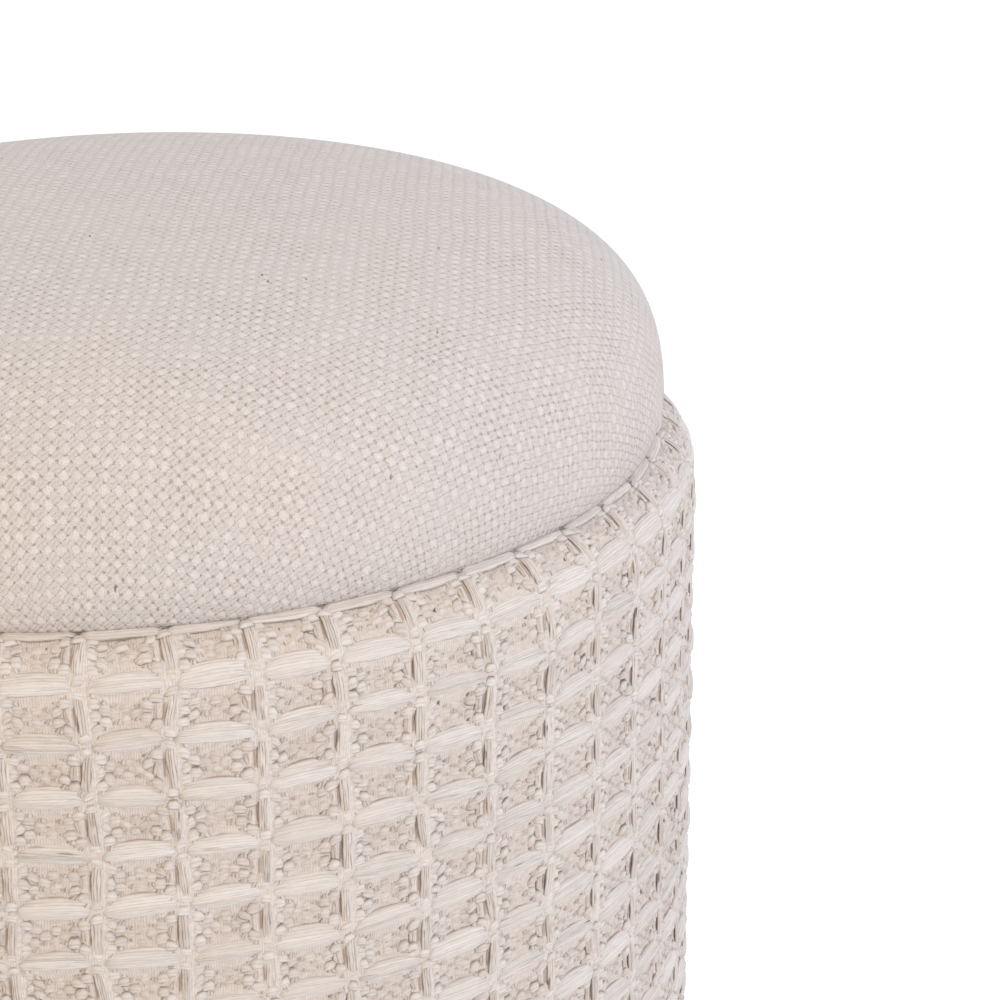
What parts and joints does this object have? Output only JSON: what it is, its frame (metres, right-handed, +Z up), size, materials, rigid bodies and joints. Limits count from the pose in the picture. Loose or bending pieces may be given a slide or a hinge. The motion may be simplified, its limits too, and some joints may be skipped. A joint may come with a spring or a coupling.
{
  "type": "woven storage ottoman",
  "caption": "Round storage ottoman: a hollow drum dressed in deep waffle-weave cloth, with a crowned, padded lift-off lid in basket-weave cloth.",
  "frame": {"origin": "the middle of the base, on the floor", "axes": "+Z up, along the drum's axis and the way the lid lifts off; the ottoman is round, so X and Y are only two level directions"},
  "size_m": [0.41, 0.4092, 0.4326],
  "materials": {
    "waffle_cloth": "chunky undyed waffle weave in wool and cotton yarn, matt, with a soft fuzz",
    "seat_cloth": "thick cream basket weave, matt, with a soft fuzz and a few dark stray fibres",
    "board": "plain unvarnished plywood, satin matt"
  },
  "bodies": {
    "drum": {"base_board": "board", "drum_wall": "board", "side_cover": "waffle_cloth"},
    "lid": {"lid_board": "board", "lid_pad": "seat_cloth"}
  },
  "joints": [
    {"name": "lid_lift", "type": "slide", "parent": "drum", "child": "lid", "axis": [0, 0, 1], "range_m": [0, 0.15]}
  ]
}
